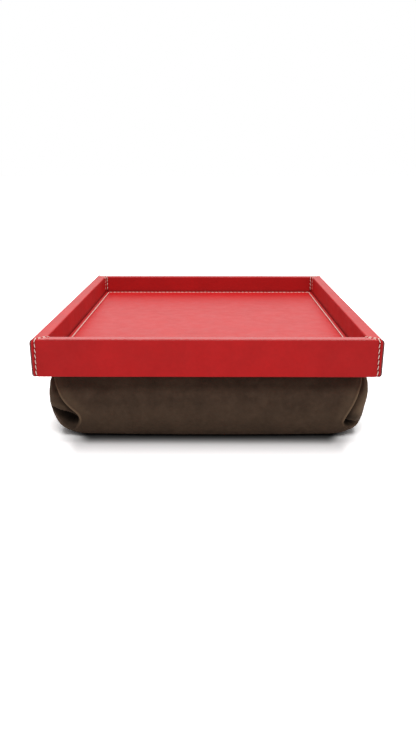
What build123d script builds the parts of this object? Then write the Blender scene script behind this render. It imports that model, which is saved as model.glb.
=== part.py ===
from build123d import *
import os
from math import cos, radians, sqrt

# Lap tray with a cushion. Millimetres, +Z up, the cushion's floor face at Z = 0.
# The tray's short side faces -Y, and the zip is at +Y under the tray's edge.

# Overall sizes
tray_width = 350.0  # along X
tray_length = 450.0  # along Y
total_height = 110.0  # from the floor to the rim
wall_height = 38.5
wall_thickness = 13.0
nest_depth = 2.2  # how far the cushion's crown sits up inside the tray's foot

# Leather and boards
leather = 1.4
floor_leather_thickness = 1.4
backing_thickness = 1.2
base_thickness = 6.0
groove_depth = 4.2  # how far the base board runs into each wall board
lining_thickness = 1.0
panel_clearance = 0.3  # between a dropped-in panel and what surrounds it
floor_panel_gap = 0.8  # the fine line round the floor leather
arris_round = 2.5  # outer upright corners
rim_round = 1.6  # long edges of the rim
foot_round = 1.2  # lower outer edge

# Raised seam on the corners
seam_width = 1.6
seam_proud = 1.0
seam_rise = 0.3  # over the rim

# Stitches
thread_width = 0.9
thread_height = 0.45
stitch_length = 4.2
corner_pitch = 5.3
floor_pitch = 5.9
corner_stitch_inset = 3.5
rim_stitch_offset = 1.7
inner_stitch_inset = 2.6
floor_stitch_inset = 5.5
stitch_slant = 15.0  # degrees
floor_stitch_slant = 6.0  # degrees
stitch_groove_side = 0.45  # between a stitch and the side of its groove
stitch_groove_depth = 0.5

# Hook and loop
strip_width = 25.0
strip_thickness = 1.6
long_strip_inset = 48.0  # centre line in from the tray's side
long_strip_end = 95.0  # its end in from the tray's end
short_strip_inset = 42.0  # centre line in from the tray's end
short_strip_end = 85.0  # its end in from the tray's side

# Cushion
cushion_side_inset = 5.0  # its widest line in from the tray's side
cushion_end_inset = 6.0  # and from the tray's ends
cushion_corner = 27.0  # rounding seen from above
side_bow = 2.5  # how far the front and the sides swell in plan
foot_draw = 19.0  # how far the foot is drawn in from the widest line
crown_draw = 9.5  # how far the crown is drawn in from the tray's foot
nest_clearance = 1.5  # between the cushion and the walls that it nests in
suede = 1.2
liner_thickness = 0.6
soft_clearance = 0.35  # between soft layers
back_room = 2.4  # behind the back panel, for the zip
top_seam_drop = 0.6  # the top panel's seam under the tray's foot
gusset_top_inset = 18.0
gusset_foot_inset = 42.0
liner_seam_share = 0.5

# The cushion's side, from the floor to its widest line, to the tray's foot and to the crown
widest_share = 0.588  # of the height under the tray
foot_height_shares = (0, 0.031, 0.072, 0.155, 0.278, 0.423)
foot_draw_shares = (1, 0.75, 0.56, 0.35, 0.17, 0.05)
upper_height_shares = (0.753, 0.886, 0.965)
upper_draw_shares = (0.12, 0.42, 0.72)
crown_height_shares = (0.45, 0.75, 1)
crown_draw_shares = (0.17, 0.45, 1)

# Zip
zip_end_inset = 36.0  # the zip's end in from the cushion's side
slot_clearance = 0.3  # between the slider and the edge of the slot
tape_width = 14.0
tape_thickness = 0.6
tape_end = 6.0  # tape past each end of the coil
tape_middle_gap = 0.4
coil_width = 5.0
coil_thickness = 1.9
coil_round = 0.8
stop_length = 3.0
stop_wall = 0.6
slider_length = 12.0
slider_wall = 0.95
slider_plate = 1.2
slider_clearance = 0.25
slider_round = 0.5
lug_thickness = 0.9
lug_radius = 1.5
pin_radius = 0.6
pin_clearance = 0.1
pull_clearance = 0.4  # between the pull's eye and the slider's plate
pull_length = 22.0
pull_width = 6.0
pull_thickness = 1.0
pull_neck = 3.0
pull_neck_length = 3.0
pull_hole_radius = 1.3
eye_radius = 1.4

# Overrun for every cut
over = 1.0
full_turn = 360.0

# Heights worked out from the sizes above
wall_foot = total_height - wall_height
cushion_height = wall_foot + nest_depth
hook_foot = cushion_height + strip_thickness
lining_foot = hook_foot + strip_thickness
base_foot = lining_foot + lining_thickness
base_top = base_foot + base_thickness
backing_top = base_top + backing_thickness
floor_top = backing_top + floor_leather_thickness
half_width = tray_width / 2
half_length = tray_length / 2
inner_half_width = half_width - wall_thickness
inner_half_length = half_length - wall_thickness

# Plan sizes of the cushion and its zip
cushion_width = tray_width - 2 * cushion_side_inset
cushion_length = tray_length - 2 * cushion_end_inset
nest_draw = wall_thickness + nest_clearance - min(cushion_side_inset, cushion_end_inset)
gusset_top_half = cushion_width / 2 - gusset_top_inset
gusset_foot_half = cushion_width / 2 - gusset_foot_inset
zip_height = widest_share * wall_foot
zip_half = cushion_width / 2 - zip_end_inset
back_surface = cushion_length / 2
coil_half = coil_width / 2
channel_half = coil_half + slider_clearance
slider_half = channel_half + slider_wall
slot_half = slider_half + slot_clearance

parts = {}


def box(x0, x1, y0, y1, z0, z1):
    """A box between two corners."""
    size = (x1 - x0, y1 - y0, z1 - z0)
    return Pos((x0 + x1) / 2, (y0 + y1) / 2, (z0 + z1) / 2) * Box(*size)


def centred_box(half_x, half_y, z0, z1):
    return box(-half_x, half_x, -half_y, half_y, z0, z1)


def prism(points, z0, z1):
    """An upright solid over a flat outline."""
    outline = make_face(Polyline(*points, close=True))
    return Pos(0, 0, z0) * extrude(outline, z1 - z0)


def solids_of(shape):
    return list(shape.solids())


def nearest_edge(shape, point):
    return shape.edges().sort_by_distance(point)[0]


# Walls: a ring of leather over a ring of board, each cut into four at the mitres
def wall_wedge(side):
    """The block of space that one wall fills between its two mitres."""
    far_x = half_width + over
    far_y = half_length + over
    near_x = inner_half_width - over
    near_y = inner_half_length - over
    corners = {
        "front": ((-far_x, -far_y), (far_x, -far_y), (near_x, -near_y), (-near_x, -near_y)),
        "back": ((far_x, far_y), (-far_x, far_y), (-near_x, near_y), (near_x, near_y)),
        "left": ((-far_x, far_y), (-far_x, -far_y), (-near_x, -near_y), (-near_x, near_y)),
        "right": ((far_x, -far_y), (far_x, far_y), (near_x, near_y), (near_x, -near_y)),
    }
    return prism(corners[side], wall_foot - over, total_height + over)


def rounded_outer_block():
    """The tray's outer form, rounded on every outer edge."""
    block = centred_box(half_width, half_length, wall_foot, total_height)
    block = fillet(block.edges().filter_by(Axis.Z), arris_round)
    block = fillet(block.faces().sort_by(Axis.Z)[-1].edges(), rim_round)
    return fillet(block.faces().sort_by(Axis.Z)[0].edges(), foot_round)


base_half_width = inner_half_width + leather + groove_depth
base_half_length = inner_half_length + leather + groove_depth
base_slot = centred_box(base_half_width, base_half_length, base_foot, base_top)
well_cut = centred_box(inner_half_width, inner_half_length, wall_foot - over, total_height + over)

outer_block = rounded_outer_block()
board_ring = centred_box(
    half_width - leather, half_length - leather, wall_foot + leather, total_height - leather
) - centred_box(
    inner_half_width + leather, inner_half_length + leather, wall_foot, total_height
)
leather_ring = outer_block - well_cut - board_ring - base_slot
grooved_boards = board_ring - base_slot

inner_rim_points = {
    "front": (0, -inner_half_length, total_height),
    "back": (0, inner_half_length, total_height),
    "left": (-inner_half_width, 0, total_height),
    "right": (inner_half_width, 0, total_height),
}
for side, rim_point in inner_rim_points.items():
    wedge = wall_wedge(side)
    parts[side + "_wall_board"] = grooved_boards & wedge
    wrap = leather_ring & wedge
    parts[side + "_wall_leather"] = fillet(nearest_edge(wrap, rim_point), rim_round)

# Floor of the tray, from the underside up
base_fit = panel_clearance / 2
parts["base_board"] = centred_box(
    base_half_width - base_fit, base_half_length - base_fit, base_foot, base_top
)
parts["underside_lining"] = centred_box(
    inner_half_width - panel_clearance, inner_half_length - panel_clearance, lining_foot, base_foot
)
parts["floor_backing"] = centred_box(
    inner_half_width - panel_clearance, inner_half_length - panel_clearance, base_top, backing_top
)

floor_half_width = inner_half_width - floor_panel_gap
floor_half_length = inner_half_length - floor_panel_gap
stitch_half_width = inner_half_width - floor_stitch_inset
stitch_half_length = inner_half_length - floor_stitch_inset
groove_foot = floor_top - stitch_groove_depth
stitch_groove_width = thread_width + 2 * stitch_groove_side


def ring_cut(half_x, half_y, width, z0, z1):
    """A rectangular ring of one width about a centre line."""
    outer = centred_box(half_x + width / 2, half_y + width / 2, z0, z1)
    return outer - centred_box(half_x - width / 2, half_y - width / 2, z0 - over, z1 + over)


parts["floor_leather"] = centred_box(
    floor_half_width, floor_half_length, backing_top, floor_top
) - ring_cut(
    stitch_half_width, stitch_half_length, stitch_groove_width, groove_foot, floor_top + over
)


# Stitches: each is a short bar that lies on the leather
def stitch(centre, along, normal, slant, height=thread_height):
    """One stitch, centred on a point of the leather, turned by its slant about the normal."""
    seat = Plane(origin=centre, x_dir=along, z_dir=normal).location * Rot(0, 0, slant)
    return seat * Pos(0, 0, height / 2) * Box(stitch_length, thread_width, height)


def stitch_places(start, end, pitch):
    """Middles of the stitches that fill a run, as distances from its start."""
    count = max(1, round((end - start) / pitch))
    step = (end - start) / count
    return [start + (number + 0.5) * step for number in range(count)]


def floor_stitches():
    """One row all round, lying in the groove of the floor leather."""
    made = []
    depth = min(thread_height, stitch_groove_depth - base_fit)
    for x in stitch_places(-stitch_half_width, stitch_half_width, floor_pitch):
        for y in (-stitch_half_length, stitch_half_length):
            made.append(stitch((x, y, groove_foot), (1, 0, 0), (0, 0, 1), floor_stitch_slant, depth))
    for y in stitch_places(
        -stitch_half_length + thread_width, stitch_half_length - thread_width, floor_pitch
    ):
        for x in (-stitch_half_width, stitch_half_width):
            made.append(stitch((x, y, groove_foot), (0, 1, 0), (0, 0, 1), floor_stitch_slant, depth))
    return made


parts["floor_stitching"] = Compound(children=floor_stitches())


def corner_stitches(sign_x, sign_y):
    """Thread up both outer faces, beside the rim's mitre and down both inner faces."""
    made = []
    up = (0, 0, 1)
    low = wall_foot + foot_round
    high = total_height - rim_round
    for z in stitch_places(low, high, corner_pitch):
        x = sign_x * (half_width - corner_stitch_inset)
        y = sign_y * half_length
        made.append(stitch((x, y, z), up, (0, sign_y, 0), sign_x * sign_y * -stitch_slant))
        x = sign_x * half_width
        y = sign_y * (half_length - corner_stitch_inset)
        made.append(stitch((x, y, z), up, (sign_x, 0, 0), sign_x * sign_y * stitch_slant))
    mitre_start = arris_round + rim_round
    mitre_end = wall_thickness - rim_round
    shift = rim_stitch_offset / sqrt(2)
    for run in stitch_places(mitre_start * sqrt(2), mitre_end * sqrt(2), corner_pitch):
        inward = run / sqrt(2)
        for turn in (-1, 1):
            x = sign_x * (half_width - inward + turn * shift)
            y = sign_y * (half_length - inward - turn * shift)
            along = (-sign_x, -sign_y, 0)
            made.append(stitch((x, y, total_height), along, up, 0))
    for z in stitch_places(floor_top + over, high, corner_pitch):
        x = sign_x * (inner_half_width - inner_stitch_inset)
        y = sign_y * inner_half_length
        made.append(stitch((x, y, z), up, (0, -sign_y, 0), sign_x * sign_y * stitch_slant))
        x = sign_x * inner_half_width
        y = sign_y * (inner_half_length - inner_stitch_inset)
        made.append(stitch((x, y, z), up, (-sign_x, 0, 0), sign_x * sign_y * -stitch_slant))
    return made


def corner_edge(sign_x, sign_y):
    """The raised dyed seam that hugs one corner and runs along the mitre."""
    shell = centred_box(
        half_width + seam_proud, half_length + seam_proud, wall_foot, total_height + seam_rise
    )
    shell = fillet(shell.edges().filter_by(Axis.Z), arris_round + seam_proud)
    shell = fillet(shell.faces().sort_by(Axis.Z)[-1].edges(), rim_round + seam_proud / 2)
    shell = fillet(shell.faces().sort_by(Axis.Z)[0].edges(), foot_round + seam_proud / 2)
    reach = over + seam_proud
    inner = wall_thickness - rim_round
    side = seam_width / 2 / sqrt(2)
    points = []
    for inward, turn in ((-reach, -1), (-reach, 1), (inner, 1), (inner, -1)):
        x = sign_x * (half_width - inward + turn * side)
        y = sign_y * (half_length - inward - turn * side)
        points.append((x, y))
    slab = prism(points, wall_foot - over, total_height + over)
    return (shell & slab) - outer_block


corner_names = {
    "front_left": (-1, -1),
    "front_right": (1, -1),
    "back_left": (-1, 1),
    "back_right": (1, 1),
}
for name, (sign_x, sign_y) in corner_names.items():
    parts[name + "_corner_edge"] = corner_edge(sign_x, sign_y)
    parts[name + "_corner_stitching"] = Compound(children=corner_stitches(sign_x, sign_y))


# Hook and loop strips: the same four places under the tray and on the cushion
def strips(z0):
    made = []
    for sign in (-1, 1):
        x = sign * (half_width - long_strip_inset)
        y = sign * (half_length - short_strip_inset)
        half_strip = strip_width / 2
        half_long = half_length - long_strip_end
        half_short = half_width - short_strip_end
        top = z0 + strip_thickness
        made.append(box(x - half_strip, x + half_strip, -half_long, half_long, z0, top))
        made.append(box(-half_short, half_short, y - half_strip, y + half_strip, z0, top))
    return made


parts["hook_strips"] = Compound(children=strips(hook_foot))
parts["loop_strips"] = Compound(children=strips(cushion_height))


# Cushion: every layer is the same form, drawn in by its depth under the surface
def cushion_section(draw, back_draw, height):
    """A level slice, with swelling front and sides and a straight back for the zip."""
    right = cushion_width / 2 - side_bow - draw
    front = -cushion_length / 2 + side_bow + draw
    back = cushion_length / 2 - back_draw
    corner = cushion_corner
    cut = corner * (1 - cos(radians(full_turn / 8)))
    outline = [
        ThreePointArc((-right + corner, front), (0, front - side_bow), (right - corner, front)),
        ThreePointArc((right - corner, front), (right - cut, front + cut), (right, front + corner)),
        ThreePointArc(
            (right, front + corner),
            (right + side_bow, (front + back) / 2),
            (right, back - corner),
        ),
        ThreePointArc((right, back - corner), (right - cut, back - cut), (right - corner, back)),
        Line((right - corner, back), (-right + corner, back)),
        ThreePointArc((-right + corner, back), (-right + cut, back - cut), (-right, back - corner)),
        ThreePointArc(
            (-right, back - corner),
            (-right - side_bow, (front + back) / 2),
            (-right, front + corner),
        ),
        ThreePointArc((-right, front + corner), (-right + cut, front + cut), (-right + corner, front)),
    ]
    return Pos(0, 0, height) * make_face(outline)


def side_levels():
    """Height and draw of each level of the cushion's side, up to the tray's foot."""
    levels = [
        (height * wall_foot, draw * foot_draw)
        for height, draw in zip(foot_height_shares, foot_draw_shares)
    ]
    levels.append((zip_height, 0))
    for height, draw in zip(upper_height_shares, upper_draw_shares):
        levels.append((height * wall_foot, draw * nest_draw))
    levels.append((wall_foot, nest_draw))
    return levels


def crown_levels():
    """Height and draw of each level from the tray's foot up to the crown."""
    levels = [(wall_foot, nest_draw)]
    for height, draw in zip(crown_height_shares, crown_draw_shares):
        levels.append((wall_foot + height * nest_depth, nest_draw + draw * crown_draw))
    return levels


def cushion_form(depth, back_depth=None):
    """The cushion's form at a depth under its surface, and at a depth of its own behind."""
    back_depth = depth if back_depth is None else back_depth
    squeeze = (cushion_height - 2 * depth) / cushion_height
    form = []
    for levels in (side_levels(), crown_levels()):
        slices = [
            cushion_section(draw + depth, draw + back_depth, depth + height * squeeze)
            for height, draw in levels
        ]
        form.append(loft(slices))
    sides, crown = form
    return sides + crown


cover_inner = cushion_form(suede)
cover_shell = cushion_form(0) - cover_inner
reach_y = cushion_length / 2 + over
reach_x = cushion_width / 2 + over


def between_gussets():
    """The space between the two slanted planes where the gussets are sewn on."""
    outline = Plane.XZ * make_face(
        Polyline(
            (-gusset_foot_half, 0),
            (gusset_foot_half, 0),
            (gusset_top_half, cushion_height),
            (-gusset_top_half, cushion_height),
            close=True,
        )
    )
    return extrude(outline, reach_y, both=True)


middle_block = between_gussets()
top_seam = wall_foot - top_seam_drop
above_seam = centred_box(reach_x, reach_y, top_seam, cushion_height + over)
upper_back_block = box(-reach_x, reach_x, 0, reach_y, zip_height, cushion_height + over)
zip_slot = box(-zip_half, zip_half, 0, reach_y, zip_height - slot_half, zip_height + slot_half)

cover_sides = cover_shell - above_seam
cover_middle = (cover_sides & middle_block) - zip_slot
cover_ends = cover_sides - middle_block
parts["cover_top"] = cover_shell & above_seam
parts["cover_wrap"] = cover_middle - upper_back_block
parts["cover_upper_back"] = cover_middle & upper_back_block
parts["left_gusset"] = cover_ends & box(-reach_x, 0, -reach_y, reach_y, -over, cushion_height)
parts["right_gusset"] = cover_ends & box(0, reach_x, -reach_y, reach_y, -over, cushion_height)

liner_depth = suede + soft_clearance
liner_back = suede + back_room
fill_depth = liner_depth + liner_thickness + soft_clearance
fill_back = liner_back + liner_thickness + soft_clearance
liner_shell = cushion_form(liner_depth, liner_back) - cushion_form(
    liner_depth + liner_thickness, liner_back + liner_thickness
)
liner_seam = liner_seam_share * cushion_height
lower_half = centred_box(reach_x, reach_y, -over, liner_seam)
parts["liner_bag"] = Compound(
    children=solids_of(liner_shell & lower_half) + solids_of(liner_shell - lower_half)
)
parts["bead_fill"] = cushion_form(fill_depth, fill_back)

# Zip: two tapes behind the slot, a coil on them, stops at its ends
tape_depth = suede + panel_clearance / 2
tape_back = tape_depth + tape_thickness
tape_shell = cushion_form(tape_depth) - cushion_form(tape_back)
tape_half = zip_half + tape_end


def tape(z0, z1):
    return tape_shell & box(-tape_half, tape_half, 0, reach_y, z0, z1)


parts["zip_tape_lower"] = tape(zip_height - tape_width, zip_height - tape_middle_gap / 2)
parts["zip_tape_upper"] = tape(zip_height + tape_middle_gap / 2, zip_height + tape_width)

coil_back = back_surface - tape_depth + panel_clearance / 4
coil_front = coil_back + coil_thickness
coil_end = zip_half - stop_length / 2
coil_bar = box(
    -coil_end, coil_end, coil_back, coil_front, zip_height - coil_half, zip_height + coil_half
)
parts["zip_coil"] = fillet(coil_bar.edges().filter_by(Axis.X), coil_round)


def end_stop(sign):
    """A clip bent over one end of the coil."""
    x0, x1 = sorted((sign * (coil_end - stop_length), sign * coil_end))
    outer = box(
        x0,
        x1,
        coil_back,
        coil_front + stop_wall,
        zip_height - coil_half - stop_wall,
        zip_height + coil_half + stop_wall,
    )
    return outer - coil_bar


parts["zip_stops"] = Compound(children=[*solids_of(end_stop(-1)), *solids_of(end_stop(1))])

# Slider, at rest against the stop at the +X end, and its pull lying back over it
slider_x = coil_end - stop_length - slider_clearance - slider_length / 2
slider_travel = 2 * slider_x
slider_back = coil_back + slider_clearance
plate_back = coil_front + slider_clearance
plate_front = plate_back + slider_plate
pin_x = slider_x
pin_y = plate_front + eye_radius + pull_clearance
eye_half = pull_neck / 2
lug_inner = eye_half + slider_clearance
lug_outer = lug_inner + lug_thickness


def upright_cylinder(x, y, radius, z0, z1):
    return Pos(x, y, (z0 + z1) / 2) * Cylinder(radius, z1 - z0)


def slider():
    """A shell over the closed coil, with two lugs and the pin of the pull."""
    x0 = slider_x - slider_length / 2
    x1 = slider_x + slider_length / 2
    body = box(x0, x1, slider_back, plate_front, zip_height - slider_half, zip_height + slider_half)
    body = fillet(body.edges().filter_by(Axis.Y), slider_round)
    body = body - box(
        x0 - over,
        x1 + over,
        slider_back - over,
        plate_back,
        zip_height - channel_half,
        zip_height + channel_half,
    )
    for sign in (-1, 1):
        z0, z1 = sorted((zip_height + sign * lug_inner, zip_height + sign * lug_outer))
        lug = upright_cylinder(pin_x, pin_y, lug_radius, z0, z1)
        lug = lug + box(pin_x - lug_radius, pin_x + lug_radius, plate_back, pin_y, z0, z1)
        body = body + lug
    return body + upright_cylinder(
        pin_x, pin_y, pin_radius, zip_height - lug_inner - lug_thickness / 2,
        zip_height + lug_inner + lug_thickness / 2,
    )


def pull():
    """The tab: an eye round the pin, a neck between the lugs and a plate."""
    z0 = zip_height - eye_half
    z1 = zip_height + eye_half
    half_plate = pull_thickness / 2
    neck_end = pin_x - lug_radius - pull_neck_length
    tab_end = pin_x - pull_length
    tab = upright_cylinder(pin_x, pin_y, eye_radius, z0, z1)
    tab = tab + box(neck_end, pin_x, pin_y - half_plate, pin_y + half_plate, z0, z1)
    plate = box(
        tab_end,
        neck_end,
        pin_y - half_plate,
        pin_y + half_plate,
        zip_height - pull_width / 2,
        zip_height + pull_width / 2,
    )
    plate = fillet(plate.edges().filter_by(Axis.Y), pull_width / 4)
    hole_x = tab_end + pull_width / 2
    hole = Pos(hole_x, pin_y, zip_height) * Rot(90, 0, 0) * Cylinder(pull_hole_radius, pull_width)
    return tab + plate - hole - upright_cylinder(pin_x, pin_y, pin_radius + pin_clearance, z0, z1)


parts["zip_slider"] = slider()
parts["zip_pull"] = pull()

os.makedirs("parts", exist_ok=True)
for name, shape in parts.items():
    pieces = solids_of(shape)
    whole = pieces[0] if len(pieces) == 1 else Compound(children=pieces)
    export_step(whole, "parts/" + name + ".step")

print("nodes", len(parts))
print("slider travel", slider_travel)
print("pull hinge", pin_x, pin_y, zip_height)
print("cushion height", cushion_height, "floor top", floor_top)
print("well half sizes", inner_half_width, inner_half_length)
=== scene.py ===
import math
from functools import partial

import bpy
import numpy as np
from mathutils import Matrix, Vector, noise
from mathutils.kdtree import KDTree


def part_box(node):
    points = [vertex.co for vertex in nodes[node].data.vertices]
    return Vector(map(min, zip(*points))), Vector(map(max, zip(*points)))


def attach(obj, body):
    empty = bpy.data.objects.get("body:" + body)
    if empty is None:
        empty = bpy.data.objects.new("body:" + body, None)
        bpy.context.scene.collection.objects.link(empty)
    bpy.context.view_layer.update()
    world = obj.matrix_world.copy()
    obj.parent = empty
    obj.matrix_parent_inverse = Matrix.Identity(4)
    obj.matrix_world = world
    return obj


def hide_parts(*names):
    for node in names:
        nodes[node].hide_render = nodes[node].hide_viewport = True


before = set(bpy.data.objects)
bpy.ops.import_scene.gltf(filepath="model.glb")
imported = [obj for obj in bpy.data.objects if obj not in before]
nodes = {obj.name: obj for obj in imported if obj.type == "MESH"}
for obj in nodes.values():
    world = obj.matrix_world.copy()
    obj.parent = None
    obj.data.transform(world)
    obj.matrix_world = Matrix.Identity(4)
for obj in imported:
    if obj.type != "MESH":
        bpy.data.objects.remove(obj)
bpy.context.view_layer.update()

scene = bpy.context.scene
mm = 0.001

# Camera at the photo's angle: short side in front, about 16 degrees down
cameraView = {"place": (0.0052, -0.9414, 0.2754), "down": 15.82, "turn": 0.318, "focal": 35.31}
cameraData = bpy.data.cameras.new("photoCamera")
cameraData.sensor_width = 36
cameraData.lens = cameraView["focal"]
cameraData.clip_start = 0.01
camera = bpy.data.objects.new("photoCamera", cameraData)
camera.location = cameraView["place"]
camera.rotation_euler = (math.radians(90 - cameraView["down"]), 0, math.radians(cameraView["turn"]))
scene.collection.objects.link(camera)
scene.camera = camera
scene.view_settings.view_transform = "Standard"


def linear(hexText):
    values = [int(hexText[start:start + 2], 16) / 255 for start in (1, 3, 5)]
    return tuple(v / 12.92 if v <= 0.04045 else ((v + 0.055) / 1.055) ** 2.4 for v in values) + (1,)


# An input is a value, or the socket or node (its first output) that it is linked to. Of a Map Range
# node, 0 is what comes in, 1 and 2 are its range before, and 3 and 4 its range after
def addNode(tree, kind, inputs=None, **settings):
    node = tree.nodes.new(kind)
    for name, value in settings.items():
        setattr(node, name, value)
    for key, value in (inputs or {}).items():
        if isinstance(value, bpy.types.Node):
            value = value.outputs[0]
        if isinstance(value, bpy.types.NodeSocket):
            tree.links.new(value, node.inputs[key])
        else:
            node.inputs[key].default_value = value
    return node


def emptyTree(block):  # of a world or a material
    block.use_nodes = True
    block.node_tree.nodes.clear()
    return block.node_tree


def addLight(name, place, target, size, power):
    data = bpy.data.lights.new(name, "AREA")
    data.shape = "RECTANGLE"
    data.size, data.size_y = size
    data.energy = power
    light = bpy.data.objects.new(name, data)
    light.location = place
    light.rotation_euler = (Vector(target) - Vector(place)).to_track_quat("-Z", "Y").to_euler()
    scene.collection.objects.link(light)


# Studio: white all round for the eye and for gloss, a plain soft light on the object
studio = {
    "worldLight": 0.42,
    "floorColour": 0.68,
    "floorSeen": (1.0, 2.8),    # close by, and far off where the lamps don't reach
    "floorReach": (0.3, 4.0),   # metres from the object
    "floorHalf": 20,
    "floorPlace": (0.002, 0, -0.0002),
    # The cushion's foot: half sizes without the corners' radius, and how much sooner the painted shadow fades
    # sideways
    "footprint": (0.1226, 0.162, 0.027), "sideways": 3.2,
    # Painted shadow on the floor by the foot: how dark, where it starts to fade and where it ends
    "paintedContactShadows": ((0.08, 0.016, 0.043), (0.66, 0.0, 0.17)),
    # Painted light: where the floor beside the cushion is painted lighter again, and by how much
    "paintedLightBesideFoot": (0.009, 0.03, 1.6),
    "lights": {
        "topSoftbox": ((0.0, -0.05, 1.9), (0, -0.05, 0), (2.2, 0.7), 31),
        "frontFill": ((0.15, -1.5, 2.1), (0, 0, 0.05), (1.4, 0.8), 25.5),
    },
}
for lightName, lightPlace in studio["lights"].items():
    addLight(lightName, *lightPlace)

world = scene.world = bpy.data.worlds.new("whiteStudio")
tree = emptyTree(world)
rays = addNode(tree, "ShaderNodeLightPath").outputs
seen = rays["Is Camera Ray"]
for ray in ("Is Glossy Ray", "Is Transmission Ray"):
    seen = addNode(tree, "ShaderNodeMath", {0: seen, 1: rays[ray]}, operation="MAXIMUM")
strength = addNode(tree, "ShaderNodeMapRange", {0: seen, 3: studio["worldLight"], 4: 1.0})
backdrop = addNode(tree, "ShaderNodeBackground", {"Color": (1, 1, 1, 1), "Strength": strength})
addNode(tree, "ShaderNodeOutputWorld", {"Surface": backdrop})

floorFinish = bpy.data.materials.new("whitePaperFloor")
tree = emptyTree(floorFinish)
rays = addNode(tree, "ShaderNodeLightPath").outputs
seen = addNode(tree, "ShaderNodeMath", {0: rays["Is Camera Ray"], 1: rays["Is Glossy Ray"]},
               operation="MAXIMUM")
place = addNode(tree, "ShaderNodeTexCoord").outputs["Object"]
away = addNode(tree, "ShaderNodeVectorMath", {0: place}, operation="LENGTH").outputs["Value"]
(nearBy, farOff), (paperNear, paperFar) = studio["floorReach"], studio["floorSeen"]
shown = addNode(tree, "ShaderNodeMapRange", {0: away, 1: nearBy, 2: farOff, 3: paperNear, 4: paperFar})
footX, footY, footRound = studio["footprint"]
outside = place
for operation, other in (("ABSOLUTE", (0, 0, 0)), ("SUBTRACT", (footX, footY, 0)), ("MAXIMUM", (0, 0, 0))):
    outside = addNode(tree, "ShaderNodeVectorMath", {0: outside, 1: other}, operation=operation)
beside = addNode(tree, "ShaderNodeSeparateXYZ", {0: outside}).outputs["X"]
outside = addNode(tree, "ShaderNodeVectorMath", {0: outside, 1: (studio["sideways"], 1, 0)},
                  operation="MULTIPLY")
outside = addNode(tree, "ShaderNodeVectorMath", {0: outside}, operation="LENGTH").outputs["Value"]
# Painted light on the floor beside the cushion
low, high, lighter = studio["paintedLightBesideFoot"]
changes = [(beside, low, high, 1.0, lighter)]
# Painted shadow on the floor round the cushion's foot
changes += [(outside, footRound + low, footRound + high, shade, 1.0)
            for shade, low, high in studio["paintedContactShadows"]]
for values in changes:
    factor = addNode(tree, "ShaderNodeMapRange", dict(enumerate(values)), interpolation_type="SMOOTHSTEP")
    shown = addNode(tree, "ShaderNodeMath", {0: shown, 1: factor}, operation="MULTIPLY")
tone = addNode(tree, "ShaderNodeMapRange", {0: seen, 3: studio["floorColour"], 4: shown})
paper = addNode(tree, "ShaderNodeBsdfDiffuse", {"Color": tone})
addNode(tree, "ShaderNodeOutputMaterial", {"Surface": paper})
floorMesh = bpy.data.meshes.new("studioFloor")
reach = studio["floorHalf"]
floorMesh.from_pydata([(-reach, -reach, 0), (reach, -reach, 0), (reach, reach, 0), (-reach, reach, 0)],
                      [], [(0, 1, 2, 3)])
floorMesh.materials.append(floorFinish)
studioFloor = bpy.data.objects.new("studioFloor", floorMesh)
studioFloor.location = studio["floorPlace"]
scene.collection.objects.link(studioFloor)
print("camera and studio are ready")


# Finishes. Every pattern is given by its real size in millimetres
bands = {"weave": ("XY", 0.4, 1.0), "layers": ("Z", 1.2, 2.0)}  # axes, distortion, detail
bandScale = 0.314  # the scale at which bands lie one unit apart


def patternOf(tree, place, kind, size):  # size in millimetres, gives a value from 0 to 1
    scale = 1 / (size * mm)
    if kind == "cells":
        return addNode(tree, "ShaderNodeTexVoronoi", {"Scale": scale, "Vector": place},
                       feature="SMOOTH_F1").outputs["Distance"]
    if kind in bands:
        axes, distortion, detail = bands[kind]
        made = [addNode(tree, "ShaderNodeTexWave", {
            "Scale": bandScale / (size * mm), "Distortion": distortion, "Detail": detail, "Vector": place},
            bands_direction=axis).outputs["Fac"] for axis in axes]
        return addNode(tree, "ShaderNodeMath", {0: made[0], 1: made[-1]}, operation="MAXIMUM")
    return addNode(tree, "ShaderNodeTexNoise", {
        "Scale": scale, "Detail": 4.0, "Roughness": 0.55, "Vector": place}).outputs["Fac"]


patternSpread = {"tone": (0.3, 0.7), "gloss": (0.35, 0.65)}  # the part of a pattern's range that is used


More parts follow.
